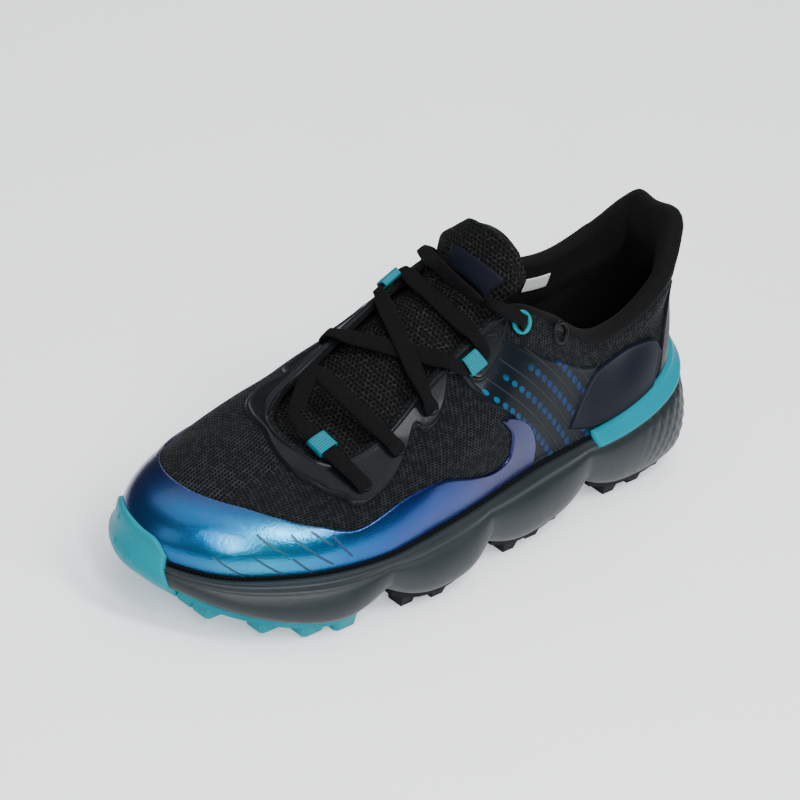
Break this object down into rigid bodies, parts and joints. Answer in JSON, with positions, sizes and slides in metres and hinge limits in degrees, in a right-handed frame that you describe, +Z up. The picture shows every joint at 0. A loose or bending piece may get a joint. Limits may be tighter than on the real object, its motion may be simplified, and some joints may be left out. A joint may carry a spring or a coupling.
{
  "type": "trail running shoe",
  "caption": "Left trail running shoe with a lobed foam midsole, lugged outsole pods, toe guard, heel clip, padded collar and flat laces through webbing loops.",
  "frame": {"origin": "on the floor under the middle of the shoe's box", "axes": "+X to the toe, +Y to the outer side of this left shoe, +Z up"},
  "size_m": [0.2982, 0.117, 0.131],
  "materials": {
    "slate_foam": "moulded foam, satin",
    "dark_rubber": "matt",
    "teal_rubber": "satin",
    "black_mesh": "coarse engineered mesh",
    "blue_guard": "iridescent film, glossy",
    "slate_film": "glossy film",
    "teal_plastic": "satin",
    "insole_cloth": "matt cloth",
    "tongue_mesh": "spacer mesh",
    "lace": "flat woven",
    "teal_webbing": "woven webbing",
    "ring_teal": "satin",
    "ring_black": "satin"
  },
  "bodies": {
    "root": {"midsole": "slate_foam", "outsole_heel": "dark_rubber", "outsole_arch": "dark_rubber", "outsole_ball": "dark_rubber", "outsole_forefoot": "teal_rubber", "upper": "black_mesh", "toe_guard": "blue_guard", "eyestay": "slate_film", "heel_clip": "teal_plastic", "insole": "insole_cloth", "tongue": "tongue_mesh", "lace_front": "lace", "lace_middle": "lace", "lace_top": "lace", "loop_outer": "teal_webbing", "loop_inner": "teal_webbing", "loop_front": "teal_webbing", "ring_teal_outer": "ring_teal", "ring_teal_inner": "ring_teal", "ring_black_outer": "ring_black", "ring_black_inner": "ring_black"}
  },
  "joints": []
}
